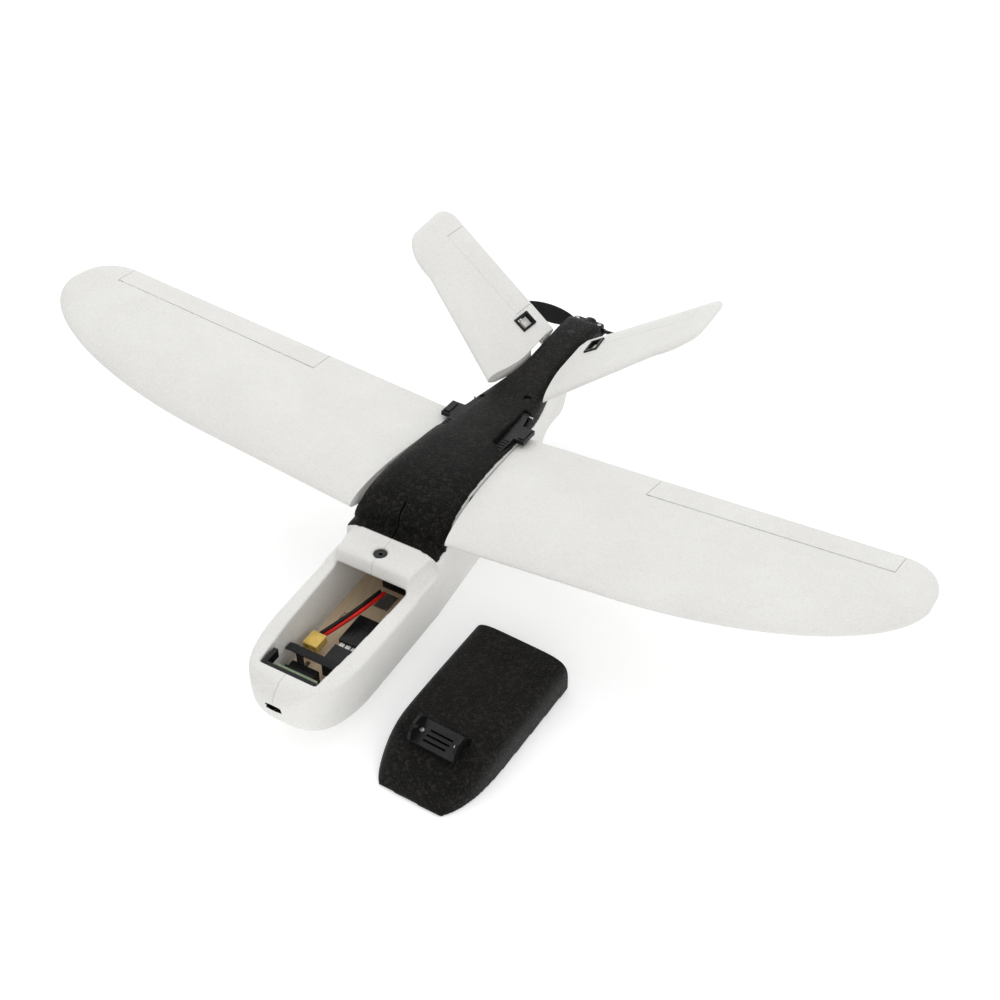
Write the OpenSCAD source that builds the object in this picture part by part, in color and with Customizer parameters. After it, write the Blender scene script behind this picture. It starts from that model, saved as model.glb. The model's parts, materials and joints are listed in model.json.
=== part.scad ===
// V-tail pusher glider with a foam airframe, wings and fins that unplug.
// The origin is on the floor under the leading edge of the wing: X = span, nose to -Y, Z up.
// "Left" in a name is the -X side and "right" the +X side, as seen from ahead of the nose.

/* [Airframe] */
// Wing span, tip to tip
span = 860; // [820:10:900]
// Wing chord at the root
root_chord = 160; // [150:1:165]
// Wing dihedral, each side, degrees
dihedral = 6.45; // [4:0.05:8]
// Wing thickness over chord
wing_t = 0.115; // [0.10:0.005:0.125]
// Wing incidence as a slope
incidence = 0.0437; // [0.03:0.001:0.05]
// V-tail dihedral, each side, degrees
vee = 34; // [32:0.5:36]
// Half width of the fuselage
body_w = 47.2; // [47:0.1:47.6]

/* [Controls] */
// Inboard end of the aileron along the span
ail_in = 172; // [165:1:180]
// Outboard end of the aileron along the span
ail_out = 394; // [380:1:395]
// Radius of the aileron horn and of its servo arm
horn_r = 12.5; // [12:0.1:13]

/* [Power] */
// Height of the thrust line
prop_z = 88; // [87:0.5:89]
// Propeller diameter
prop_d = 152; // [140:1:154]
// Distance of each blade pin from the thrust line
pin_r = 12; // [12:0.1:12.4]

/* [Hatch] */
// Where the hatch lies on the floor, sideways
hatch_x = 124; // [124:1:140]
// How far the hatch is turned on the floor, degrees
hatch_turn = 2.5; // [0:0.5:2.5]
// Running gap between neighbouring parts
gap = 0.35; // [0.3:0.05:0.5]

/* [Hidden] */

body_points = 20;  // points round a fuselage section
foil_points = 11;  // points on each face of a wing or fin section

white = "#ECEAE6";
black = "#1D1D1F";
dark = "#2B2B2E";
steel = "#B9BCC0";
servo_blue = "#2E3A5A";
nylon = "#F1F1F1";

// ---------- shared shapes ----------
// Boxes and cylinders are given by where they start and end on each axis.
module box(x0, x1, y0, y1, z0, z1) {
  translate([x0, y0, z0]) cube([x1 - x0, y1 - y0, z1 - z0]);
}
module cyl_x(r, x0, x1, y = 0, z = 0, facets = 24) {
  translate([x0, y, z]) rotate([0, 90, 0]) cylinder(r = r, h = x1 - x0, $fn = facets);
}
module cyl_y(r, y0, y1, x = 0, z = prop_z, facets = 40) {
  translate([x, y0, z]) rotate([-90, 0, 0]) cylinder(r = r, h = y1 - y0, $fn = facets);
}
module cyl_z(r, z0, z1, x = 0, y = 0, facets = 20) {
  translate([x, y, z0]) cylinder(r = r, h = z1 - z0, $fn = facets);
}
// [x, y] outline raised from z0 to z1
module plan_z(outline, z0, z1) {
  translate([0, 0, z0]) linear_extrude(z1 - z0) polygon(outline);
}
// [y, z] outline drawn out from x0 to x1
module side_x(outline, x0, x1) {
  translate([x0, 0, 0]) rotate([90, 0, 90]) linear_extrude(x1 - x0) polygon(outline);
}
// closed skin through a list of equal-length rings
module skin(rings) {
  n = len(rings[0]);
  last = len(rings) - 1;
  polyhedron(points = [for (ring = rings) each ring],
    faces = concat(
      [[for (i = [n - 1 : -1 : 0]) i]],
      [for (j = [0 : last - 1], i = [0 : n - 1])
        [j * n + i, j * n + (i + 1) % n, (j + 1) * n + (i + 1) % n]],
      [for (j = [0 : last - 1], i = [0 : n - 1])
        [j * n + i, (j + 1) * n + (i + 1) % n, (j + 1) * n + i]],
      [[for (i = [0 : n - 1]) last * n + i]]),
    convexity = 8);
}
// screw with the underside of its head at z = 0
module screw(head_r, head_h, shank_r, depth, overlap = 0.1, facets = 20) {
  cylinder(r = head_r, h = head_h, $fn = 24);
  cyl_z(shank_r, -depth, overlap, facets = facets);
}
// side is -1 for -X and 1 for +X
module on_side(side) {
  if (side < 0) mirror([1, 0, 0]) children();
  else children();
}
// frame with X along the hinge line from inner to outer, set where the line passes x
module hinge_frame(inner, outer, x) {
  run = outer - inner;
  translate(inner + run * (x - inner[0]) / run[0]) rotate([0, 0, atan2(run[1], run[0])])
    children();
}
// superellipse term for a sine or cosine
function signed_pow(v, n) = sign(v) * pow(abs(v), 2 / n);
function smooth(u) = let(t = min(1, max(0, u))) t * t * (3 - 2 * t);
// rises 0 to 1 as a quarter circle, t from 0 to 1
function rounding(t) = 1 - sqrt(1 - pow(min(1, t), 2));
// a section ring runs from trailing edge to nose over the top, then back underneath
function ring_x(i, power) = i < foil_points ? pow(1 - i / foil_points, power)
  : pow((i - foil_points) / (foil_points - 1), power);
function ring_face(i) = i < foil_points ? 1 : -1;

// ---------- fuselage ----------
taper_y = -5;          // where the sides start to draw in
body_taper = 0.0776;   // half width lost per mm behind it
// lines in side view, [y, z]
keel_line = [[-188, 55], [-184, 41], [-176, 27], [-160, 12], [-140, 4], [-115, -1], [95, -1],
  [160, 9], [225, 35], [266, 33], [268, 50], [305, 68], [334, 71]];
crown_line = [[-188, 64], [-184, 71], [-172, 78], [-46, 78], [-41, 94], [-12.5, 95], [-12, 99],
  [-0.5, 100], [0, 108], [10, 118], [20, 125], [52, 128], [93, 125], [135, 118], [197, 108],
  [238, 107], [305, 106], [328, 104], [334, 102]];
widest_line = [[-188, 60], [-172, 70], [-115, 72], [160, 74], [250, 84], [334, 88]];
cover_joint = [[-12, 90], [0, 92], [20, 110], [52, 114], [93, 111], [135, 103], [197, 93],
  [238, 91], [334, 88]];
joint_half_gap = 0.1;
// y of the fuselage sections
body_stations = [-188, -186, -182, -176, -170, -160, -145, -125, -95, -46.5, -46, -41, -12.6,
  -12, -0.5, 0, 10, 20, 40, 70, 100, 135, 165, 197, 225, 247, 266, 268, 290, 320, 334];

function body_half_w(y) =
  y < -90 ? let(t = min(0.9995, (-90 - y) / 98.4)) body_w * pow(1 - pow(t, 3.2), 0.4167)
  : y < taper_y ? body_w
  : y < 160 ? body_w - body_taper * (y - taper_y)
  : let(w = body_w - 12.8) w - (w - 18.4) * smooth((y - 160) / 95);
function body_ring(y) = let(mid = lookup(y, widest_line))
  [for (i = [0 : body_points - 1])
    let(a = 360 * i / body_points, c = cos(a), s = sin(a), n = s < 0 ? 3.2 : 4.6,
      reach = s < 0 ? mid - lookup(y, keel_line) : lookup(y, crown_line) - mid)
    [body_half_w(y) * signed_pow(c, n), y, mid + reach * signed_pow(s, n)]];
module body_skin() {
  skin([for (y = body_stations) body_ring(y)]);
}
module body_cuts() {
  // battery bay, open at the top, and the channel under the tray
  plan_z([[-35, -44.5], [35, -44.5], [31.5, -120], [27, -166], [-27, -166], [-31.5, -120]],
    30, 90);
  box(-20, 20, -150, 110, 10, 31);
  // equipment space behind the bay
  plan_z([[-35, -44.6], [35, -44.6], [33, 30], [27, 118], [-27, 118], [-33, 30]], 30, 80);
  // wiring duct to the motor
  plan_z([[-10, 117], [10, 117], [6, 300], [-6, 300]], 71, 80);
  // motor well
  cyl_y(14.9, 301.5, 340);
  // slot in the nose, through to the bay
  translate([0, -183, 54]) rotate([-35, 0, 0]) box(-7, 7, -12, 27, -2, 2);
  // shelf magnet seat
  cyl_z(6.2, 88.5, 100.5, 0, shelf_magnet_y, 32);
  // spar socket seat
  socket_block(0.2);
  // flat belly
  box(-60, 60, -200, 340, -5, 0);
  // keel recess for the skid
  box(-30, 30, 226, 264, 30, 38.2);
  // shoulders beside the shelf, where the hatch wall sits
  for (side = [-1, 1]) on_side(side)
    plan_z([[39.4, -12.3], [60, -12.3], [60, -47], [36.5, -47], [36.5, -41]], 78.2, 110);
  // sockets for the wing spars
  for (side = [-1, 1]) wing_frame(side) cyl_x(4.3, 20, 60, spar_y, spar_z, 32);
  // seat for the screws of the motor mount
  cyl_y(12.4, 299.2, 302);
}
module under_joint() {
  side_x(concat([for (p = cover_joint) [p[0], p[1] - joint_half_gap]],
    [[340, 88 - joint_half_gap], [340, -10], [-200, -10], [-200, 101], [-12.15, 101]]), -60, 60);
}
module over_joint() {
  side_x(concat([for (p = cover_joint) [p[0], p[1] + joint_half_gap]],
    [[340, 88 + joint_half_gap], [340, 140], [-12, 140]]), -60, 60);
}
module half_body(side) {
  color(white) difference() {
    intersection() {
      body_skin();
      under_joint();
      if (side < 0) box(-60, -0.05, -200, 340, -10, 140);
      else box(0.05, 60, -200, 340, -10, 140);
    }
    body_cuts();
  }
}
module fuselage_left() { half_body(-1); }
module fuselage_right() { half_body(1); }

// cover screws: x, y, hole radius, shank radius, shank depth
cover_screw_table = [[0, 307.3, 1.4, 1.2, 2.1], [14, 196, 1.7, 1.5, 8]];
module top_cover() {
  color(black) difference() {
    intersection() {
      body_skin();
      over_joint();
    }
    body_cuts();
    for (side = [-1, 1]) latch_pocket(side);
    // lengthwise slit in the front end
    box(-0.6, 0.6, -20, 10, 94, 122);
    // slot across the front end
    side_x([[-13, 96.5], [-4, 97.5], [-4, 100.5], [-13, 103]], -60, 60);
    for (p = cover_screw_table) {
      cyl_z(p[2], p[0] == 0 ? 96 : 90, p[0] == 0 ? 116 : 110, p[0], p[1]);
      cyl_z(3.6, 103.6, 123.6, p[0], p[1], 24);
    }
  }
}
module cover_screws() {
  color(steel) for (p = cover_screw_table)
    translate([p[0], p[1], 103.7]) screw(3.2, 1.8, p[3], p[4]);
}
module tail_skid() {
  color(black) difference() {
    union() {
      box(-5, 5, 227, 263, 34.5, 38);
      box(-4, 4, 229, 261, 30.6, 34.6);
    }
    cyl_z(1.2, 20, 50, 0, 245);
  }
}

// ---------- equipment ----------
tray_z = 30.1;
tray_top = 32.1;
gear_z = tray_top + 0.2;  // underside of what stands on the tray
strap_y = [-130.5, -122.3];
shelf_magnet_y = -29;
module equipment_tray() {
  color("#D9B98A") difference() {
    plan_z([[33.5, -46], [33.5, -20], [32, 30], [-32, 30], [-33.5, -20], [-33.5, -46],
      [-31, -110], [-26.5, -164.8], [26.5, -164.8], [31, -110]], tray_z, tray_top);
    for (p = [[-22, -62], [-18, -124], [22, -62], [18, -124]])
      box(p[0] - 2, p[0] + 2, p[1] - 8, p[1] + 8, 29, 34);
    box(-7, 7, -35, -15, 29, 34);
    for (x = [-15, 15]) cyl_z(1.6, 29, 34, x, 10);
  }
}
module speed_controller() {
  color(dark) union() {
    box(-12, 12, -12, 26, gear_z, 41.5);
    box(-9, 9, -8, 22, 41.4, 43.2);
  }
}
module receiver() {
  color(dark) difference() {
    box(-3, 23, -92, -60, gear_z, 46);
    for (x = [0, 8, 16]) box(x, x + 4, -64, -59, 36, 43);
    box(4, 16, -84, -72, 45.2, 47);
  }
}
module receiver_plugs() {
  color("#F4F2EC") for (i = [0 : 3]) box(-1 + i * 6, 3.4 + i * 6, -97.5, -92.3, 36, 43);
}
module power_module() {
  color(dark) union() {
    box(0, 22, -122, -101, gear_z, 50);
    box(3, 19, -119, -104, 49.9, 52);
  }
}
// a lead is a chain of short rounded runs along a smooth curve, t from 0 to 1
function lead_point(t, x) =
  [x + 6 - 20 * t + 5 * sin(180 * t), -34 - 62 * t, 53 + 5 * sin(180 * t) - 6 * t];
module lead(x, shade) {
  runs = 6;
  color(shade) for (i = [0 : runs - 1]) hull() {
    translate(lead_point(i / runs, x)) sphere(r = 1.6, $fn = 10);
    translate(lead_point((i + 1) / runs, x)) sphere(r = 1.6, $fn = 10);
  }
}
module battery_lead_red() { lead(-1, "#C8201C"); }
module battery_lead_black() { lead(-5.2, "#151515"); }
module battery_connector() {
  color("#D8B23A") difference() {
    box(-24, -10.5, -113.5, -98.2, 43.4, 51.4);
    for (x = [-20.6, -13.9]) cyl_y(2.2, -114, -106, x, 47.4, 24);
  }
}
module battery_strap() {
  color(dark) union() {
    box(-29.4, 23.5, strap_y[0], strap_y[1], 56, 57.6);
    for (x = [-18.8, 17.2]) box(x, x + 1.6, strap_y[0], strap_y[1], 27, 57);
    box(-18.8, 18.8, strap_y[0], strap_y[1], 26.9, 28.4);
  }
}
module strap_pad() {
  color(dark) union() {
    box(-22, 4, -150, -131, gear_z, 47);
    // ring on the -X face
    translate([-24.6, -140, 42]) rotate([90, 0, 90]) linear_extrude(2.4) difference() {
      circle(r = 5, $fn = 24);
      circle(r = 3.2, $fn = 24);
    }
  }
}
module front_catch() {
  color(black) union() {
    box(-25.5, 25.5, -165.6, -162.6, 62, 77);
    box(-25.5, -21.5, -162.7, -148, 68, 77);
    box(-25.5, 25.5, -162.7, -158, 62, 65);
  }
}
module camera_board() {
  color("#3F6B4A") difference() {
    box(-14, 25, -161.8, -159.6, 65.2, 76);
    for (x = [-9 : 8 : 15])
      translate([x, -155, 71]) rotate([90, 0, 0]) cylinder(r = 1.1, h = 12, $fn = 16);
  }
}
module shelf_magnet() {
  color(steel) translate([0, shelf_magnet_y, 88.6]) difference() {
    cylinder(r = 6, h = 4.4, $fn = 32);
    cyl_z(2, 2.4, 8.4);
  }
}

// ---------- power ----------
hub_y = 343;
shaft_hole_r = 2.05;
lug_r = 4.6;    // hub lugs, above and below each blade root
lug_h = 2.2;
lug_gap = 2.9;  // from the thrust line to a lug
// centres of the four motor screws round the thrust line
module at_motor_screws() {
  for (a = [45 : 90 : 315]) translate([10 * cos(a), 0, prop_z + 10 * sin(a)]) children();
}
module motor_mount() {
  color(dark) difference() {
    cyl_y(14.7, 301.8, 305);
    cyl_y(3, 290, 310);
    at_motor_screws() cyl_y(1.05, 296, 306, z = 0, facets = 16);
  }
}
module motor_screws() {
  color(steel) at_motor_screws() {
    cyl_y(1, 301.6, 308.2, z = 0, facets = 16);
    cyl_y(1.9, 299.8, 301.7, z = 0, facets = 20);
  }
}
module motor_stator() {
  color("#B56A3A") difference() {
    union() {
      cyl_y(13, 305.1, 309);
      cyl_y(5.5, 308.9, 329);
      for (a = [0 : 40 : 320])
        translate([0, 312, prop_z]) rotate([0, a, 0]) box(4.6, 11.6, 0, 14, -1.5, 1.5);
    }
    cyl_y(shaft_hole_r, 300, 335, facets = 32);
    at_motor_screws() cyl_y(1.05, 300, 308.6, z = 0, facets = 16);
  }
}
module motor_can() {
  color("#3A3B3F") union() {
    difference() {
      cyl_y(14, 310, 335, facets = 48);
      cyl_y(12.2, 305, 332, facets = 48);
      for (a = [30 : 60 : 330])
        cyl_y(2.2, 330, 336, 8.4 * cos(a), prop_z + 8.4 * sin(a), 20);
    }
    // shaft
    cyl_y(1.95, 306, 352, facets = 32);
  }
}
module prop_hub() {
  color(dark) difference() {
    union() {
      cyl_y(7, 336, 349);
      for (side = [-1, 1], z = [prop_z + lug_gap, prop_z - lug_gap - lug_h]) {
        box(side > 0 ? 4 : -pin_r, side > 0 ? pin_r : -4, hub_y - lug_r, hub_y + lug_r,
          z, z + lug_h);
        cyl_z(lug_r, z, z + lug_h, side * pin_r, hub_y, 32);
      }
    }
    // room for the blade roots
    for (side = [-1, 1]) cyl_z(5.1, prop_z - 2.7, prop_z + 2.7, side * pin_r, hub_y, 32);
    cyl_y(shaft_hole_r, 330, 352, facets = 32);
    for (side = [-1, 1]) cyl_z(1, prop_z - 8, prop_z + 8, side * pin_r, hub_y, 24);
  }
}
module prop_nut() {
  color(steel) difference() {
    union() {
      cyl_y(4.4, 349.1, 352.6, facets = 6);
      translate([0, 352.5, prop_z]) rotate([-90, 0, 0])
        cylinder(r1 = 4.2, r2 = 2, h = 3, $fn = 28);
    }
    cyl_y(2, 348, 352.3, facets = 28);
  }
}
module blade_pins() {
  color(steel) for (side = [-1, 1]) translate([side * pin_r, hub_y, prop_z - 6]) {
    cyl_z(0.98, 0, 12, facets = 24);
    cyl_z(1.9, 11.4, 12.4, facets = 24);
  }
}
// twisted blade: chord, pitch and thickness along u, 0 at the root to 1 at the tip
blade_root = 5.6;
function blade_chord(u) =
  8 + 11 * pow(sin(180 * min(1, u * 1.02)), 0.75) * (1 - 0.25 * u) - 4 * pow(u, 6);
function blade_ring(u) =
  let(x = blade_root + (prop_d / 2 - pin_r - blade_root) * u, chord = max(3, blade_chord(u)),
    pitch = 46 - 28 * pow(u, 0.6), t = 3.6 - 2.4 * u)
  [for (i = [0 : 9])
    let(a = -36 * i, v = chord / 2 * cos(a), h = t / 2 * sin(a) * (1 - 0.35 * cos(a)))
    [x, h * cos(pitch) + v * sin(pitch), h * sin(pitch) - v * cos(pitch)]];
module blade() {
  difference() {
    union() {
      skin([for (k = [0 : 10]) blade_ring(k / 10)]);
      cylinder(r = 4.2, h = 5, center = true, $fn = 32);
      box(2, 6.2, -1.8, 1.8, -2.1, 2.1);
    }
    cylinder(r = 1.03, h = 8, center = true, $fn = 24);
  }
}
module prop_blade_a() { color(dark) translate([pin_r, hub_y, prop_z]) blade(); }
module prop_blade_b() {
  color(dark) translate([-pin_r, hub_y, prop_z]) rotate([0, 180, 0]) blade();
}

// ---------- wing ----------
// In the wing frame X runs out along the panel; u is a place along it.
module wing_frame(side) {
  on_side(side) translate([0, 0, 99.7]) rotate([0, -dihedral, 0]) children();
}
tip_u = span / 2 / cos(dihedral);
nose_y = -3;       // leading edge at the root
tip_y = 95;        // where both edges meet at the tip
le_round_u = 200;  // where each edge starts to curve in
te_round_u = 385;
// stations from the tip inward
wing_stations = [tip_u - 1, 430, 423, 411, 395, 375, 350, 320, 285, 245, 200, 120, 28];
function wing_le(u) = nose_y + (tip_y - nose_y)
  * (u < le_round_u ? 0 : rounding((u - le_round_u) / (tip_u - le_round_u)));
function wing_te(u) = u < te_round_u ? root_chord + nose_y - (u - 47) * 0.0425
  : let(t = min(1, (u - te_round_u) / (tip_u - te_round_u)))
    tip_y + 47.6 * pow(1 - pow(t, 2.4), 0.4167);
// half thickness and camber over chord, x from nose 0 to trailing edge 1
function half_thick(x) = 5 * wing_t * (0.2969 * sqrt(x) - 0.126 * x - 0.3516 * x * x
  + 0.2843 * x * x * x - 0.1015 * x * x * x * x) + 0.0035 * x;
function camber(x) =
  x < 0.4 ? 0.125 * (0.8 * x - x * x) : 0.0556 * (0.2 + 0.8 * x - x * x);
function wing_ring(u) = let(le = wing_le(u), chord = wing_te(u) - le)
  [for (i = [0 : 2 * foil_points - 1]) let(x = ring_x(i, 1.6), y = le + chord * x)
    [u, y, -incidence * (y - nose_y) + chord * (camber(x) + ring_face(i) * half_thick(x))]];
module wing_skin() {
  skin([for (u = wing_stations) wing_ring(u)]);
}

spar_y = 52;
spar_z = 3.2;  // in the wing frame
module spar() {
  difference() {
    cyl_x(3.98, 24, 204, spar_y, spar_z, 32);
    cyl_x(3, 20, 210, spar_y, spar_z, 32);
  }
}
module spar_left() { color("#222224") wing_frame(-1) spar(); }
module spar_right() { color("#222224") wing_frame(1) spar(); }
module socket_block(clear = 0) {
  box(-27 - clear, 27 + clear, spar_y - 11.5 - clear, spar_y + 11.5 + clear,
    93 - clear, 112.5 + clear);
}
module spar_socket() {
  color(dark) difference() {
    socket_block();
    for (side = [-1, 1]) wing_frame(side) cyl_x(4.05, 6, 60, spar_y, spar_z, 32);
  }
}

// ends of the aileron hinge line, near the upper surface
ail_hinge_in = [ail_in, 121.9, 0.35];
ail_hinge_out = [ail_out, 115.3, -0.95];
link_u = 182;                // pushrod and horn along the span
servo_at = [0, -36.6, -2.5]; // servo shaft from the hinge line
module ail_hinge_frame(u) { hinge_frame(ail_hinge_in, ail_hinge_out, u) children(); }
module link_frame() { ail_hinge_frame(link_u) children(); }
module servo_frame() { link_frame() translate(servo_at) children(); }
// room of the aileron less a clearance; bevel is the run under the hinge line
module ail_zone(clear, bevel) {
  ail_hinge_frame(0) side_x([[clear / 2, 12], [60, 12], [60, -20], [bevel + clear / 2, -20],
    [clear / 2, 0.5]], ail_in + clear, ail_out - clear);
}
module servo_pocket() {
  servo_frame() {
    box(-23.2, -1.8, -14.4, 7.4, -20, 4.4);
    box(-3, 4, -7.2, 7.2, -20, 3.6);
  }
}
module wing_half() {
  difference() {
    wing_skin();
    ail_zone(0, 0);
    servo_pocket();
    cyl_x(4, 20, 205, spar_y, spar_z, 32);
  }
}
// fuselage side plus the gap, cut from the wing root
module root_clear(side) {
  x = body_w + gap;
  on_side(side) plan_z([[0, -30], [x, -30], [x, taper_y],
    [x - body_taper * (170 - taper_y), 170], [0, 170]], 60, 160);
}
module wing(side) {
  color(white) difference() {
    wing_frame(side) wing_half();
    root_clear(side);
  }
}
module wing_left() { wing(-1); }
module wing_right() { wing(1); }
module aileron() {
  difference() {
    intersection() {
      wing_skin();
      ail_zone(gap, 12);
    }
    link_frame() box(-1.15, 1.15, 0, 13.2, -16, -5);
  }
}
module aileron_left() { color(white) wing_frame(-1) aileron(); }
module aileron_right() { color(white) wing_frame(1) aileron(); }
module ail_servo() {
  servo_frame() difference() {
    box(-22.9, -2.2, -14, 7, -5, 4);
    cyl_x(1.6, -5, 0);
  }
}
module aileron_servo_left() { color(servo_blue) wing_frame(-1) ail_servo(); }
module aileron_servo_right() { color(servo_blue) wing_frame(1) ail_servo(); }
module ail_arm() {
  servo_frame() difference() {
    union() {
      cyl_x(1.5, -4.8, 1);
      cyl_x(3, -1.4, 0.6, facets = 28);
      box(-1.4, 0.6, -1.6, 1.6, -horn_r, 0);
      cyl_x(1.6, -1.4, 0.6, 0, -horn_r);
    }
    cyl_x(0.75, -3, 2, 0, -horn_r, 20);
  }
}
module aileron_arm_left() { color(nylon) wing_frame(-1) ail_arm(); }
module aileron_arm_right() { color(nylon) wing_frame(1) ail_arm(); }
// rod beside the arm and horn, with an end bent into each
module ail_rod() {
  rod_r = 0.65;
  bend_x = 2.2;
  link_frame() translate([0, 0, -horn_r]) {
    cyl_x(rod_r, -bend_x, bend_x, servo_at[1], servo_at[2], 16);
    cyl_x(rod_r, -bend_x, bend_x, 0, 0, 16);
    translate([bend_x, servo_at[1], servo_at[2]])
      rotate([-90 + atan2(-servo_at[2], -servo_at[1]), 0, 0])
      cylinder(r = rod_r, h = norm(servo_at), $fn = 16);
  }
}
module pushrod_left() { color(steel) wing_frame(-1) ail_rod(); }
module pushrod_right() { color(steel) wing_frame(1) ail_rod(); }
module ail_horn() {
  link_frame() difference() {
    side_x([[5.5, -5.2], [13, -5.2], [13, -7.8], [1.6, -horn_r - 1.5], [-1.6, -horn_r - 1.5],
      [-1.6, -horn_r + 1], [3, -9.8]], -1, 1);
    cyl_x(0.85, -3, 3, 0, -horn_r, 20);
  }
}
module aileron_horn_left() { color(nylon) wing_frame(-1) ail_horn(); }
module aileron_horn_right() { color(nylon) wing_frame(1) ail_horn(); }

// ---------- V tail ----------
// In the fin frame X runs out along the fin; s is a place along it.
module fin_frame(side) {
  on_side(side) translate([0, 0, 89]) rotate([0, -vee, 0]) children();
}
fin_tip = 181;
// stations from the tip inward
fin_stations = [fin_tip - 0.6, 177, 171, 163, 152, 140, 100, 60, 18];
function fin_le(s) = s < 140 ? 184 + 0.4 * s : 240 + 32 * rounding((s - 140) / (fin_tip - 140));
function fin_te(s) = s < 165 ? 302.5 + 0.114 * s
  : 304 + 17.3 * (1 - rounding((s - 165) / (fin_tip - 165)));
// foam plate: round nose, even thickness, then a taper to the trailing edge
function plate_half_t(x, chord) = 4.3 * pow(chord / 112, 0.6) * min(1, sqrt(9 * x))
  * (x < 0.85 ? 1 : 1 - 0.78 * (x - 0.85) / 0.15);
function fin_ring(s) = let(le = fin_le(s), chord = fin_te(s) - le)
  [for (i = [0 : 2 * foil_points - 1]) let(x = ring_x(i, 1.5))
    [s, le + chord * x, ring_face(i) * plate_half_t(x, chord)]];
module fin_skin() {
  skin([for (s = fin_stations) fin_ring(s)]);
}
fin_hinge_in = [58, 283.4, 0];
fin_hinge_out = [157, 293.6, 0];
rud_len = norm(fin_hinge_out - fin_hinge_in);
frame_x = [-7.5, 7];  // ends of the horn frame
module rud_frame() { hinge_frame(fin_hinge_in, fin_hinge_out, fin_hinge_in[0]) children(); }
module tail_link_frame() { hinge_frame(fin_hinge_in, fin_hinge_out, 48) children(); }
module rud_zone(clear) {
  rud_frame() box(clear, rud_len - clear, 0, 60, -12, 12);
}
// tapered round nose along the hinge line
module rud_nose(clear, r1, r2) {
  rud_frame() translate([clear, 0, 0]) rotate([0, 90, 0])
    cylinder(r1 = r1, r2 = r2, h = rud_len - 2 * clear, $fn = 32);
}
// fuselage side plus the gap, cut from the fin root
module fin_root_clear(side) {
  on_side(side) plan_z(concat([[0, 150]],
    [for (y = [150, 160, 175, 190, 205, 220, 235, 255, 340])
      [body_half_w(y) + gap + 0.05, y]],
    [[0, 340]]), 40, 140);
}
module fin_half() {
  difference() {
    fin_skin();
    rud_zone(0);
    rud_nose(0, 4.6, 3.95);
    tail_link_frame() {
      box(frame_x[0] - 0.2, frame_x[1] + 0.2, -10.2, 10.2, -12, 12);
      box(-40, -7, -17.8, 4.3, -12, 3.6);
      cyl_x(1.4, 6, 12, facets = 20);
    }
  }
}
module fin(side) {
  color(white) difference() {
    fin_frame(side) fin_half();
    fin_root_clear(side);
  }
}
module fin_left() { fin(-1); }
module fin_right() { fin(1); }
module ruddervator() {
  difference() {
    union() {
      intersection() {
        fin_skin();
        rud_zone(gap);
      }
      rud_nose(gap, 4.2, 3.5);
    }
    // room for the torque arm
    tail_link_frame() {
      cyl_x(1.1, 5, 26.2, facets = 20);
      box(24, 26.2, -1.1, 13.2, -1.1, 1.1);
    }
  }
}
module ruddervator_left() { color(white) fin_frame(-1) ruddervator(); }
module ruddervator_right() { color(white) fin_frame(1) ruddervator(); }
module horn_frame() {
  tail_link_frame() difference() {
    box(frame_x[0], frame_x[1], -10, 10, -5.6, 5.6);
    box(frame_x[0] + 2, frame_x[1] - 2, -8, 8, -7, 7);
    cyl_x(1.4, -12, 12);
  }
}
module horn_frame_left() { color(black) fin_frame(-1) horn_frame(); }
module horn_frame_right() { color(black) fin_frame(1) horn_frame(); }
module tail_servo() {
  tail_link_frame() difference() {
    box(-23, -7.7, -17.5, 4, -4.4, 3.4);
    cyl_x(1.45, -12, -6);
  }
}
module tail_servo_left() { color(servo_blue) fin_frame(-1) tail_servo(); }
module tail_servo_right() { color(servo_blue) fin_frame(1) tail_servo(); }
module torque_arm() {
  tail_link_frame() union() {
    cyl_x(1.3, -11.8, -5);
    box(-5.1, 3.6, -2, 7.4, -1.6, 1.6);
    cyl_x(1, 3.5, 26, facets = 20);
    box(24.2, 26, -1, 13, -1, 1);
  }
}
module torque_arm_left() { color(nylon) fin_frame(-1) torque_arm(); }
module torque_arm_right() { color(nylon) fin_frame(1) torque_arm(); }

// ---------- wing latches ----------
latch_y = 176.5;  // pin
module latch_frame(side) {
  on_side(side) translate([0, latch_y, 104.2]) rotate([-6, 0, 0])
    translate([0, -latch_y, 0]) children();
}
module latch_pocket(side) {
  latch_frame(side) {
    plan_z([[23.5, 114], [33.6, 114], [33.6, 137.4], [50, 137.4], [50, 159.6], [31, 159.6],
      [27.6, 179.6], [20.7, 179.6]], -2.9, 40);
    cyl_x(1.04, 17, 32, latch_y);
  }
}
module latch() {
  difference() {
    union() {
      plan_z([[24.2, 115], [32.8, 115], [32.8, 138.2], [42.8, 138.2], [42.8, 158.8],
        [30.2, 158.8], [26.8, latch_y], [21.6, latch_y]], -2.4, 1.8);
      cyl_x(2.4, 21.6, 26.8, latch_y, facets = 32);
      box(36, 41.4, 140.5, 156.5, 1.7, 3);
      // finger ribs
      for (y = [119 : 4 : 131]) box(25.4, 31.6, y, y + 1.8, 1.7, 2.6);
    }
    cyl_x(1.05, 17, 32, latch_y);
  }
}
module latch_left() { color(dark) latch_frame(-1) latch(); }
module latch_right() { color(dark) latch_frame(1) latch(); }
module latch_pins() {
  color(steel) for (side = [-1, 1]) latch_frame(side) cyl_x(1, 18.2, 30.8, latch_y);
}

// ---------- hatch, lying on the floor beside the nose ----------
// top of the hatch, [y, z]
hatch_line = [[-168, 3], [-165, 8], [-160, 14], [-152, 21], [-140, 27], [-112, 31], [-50, 33],
  [0, 33]];
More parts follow.
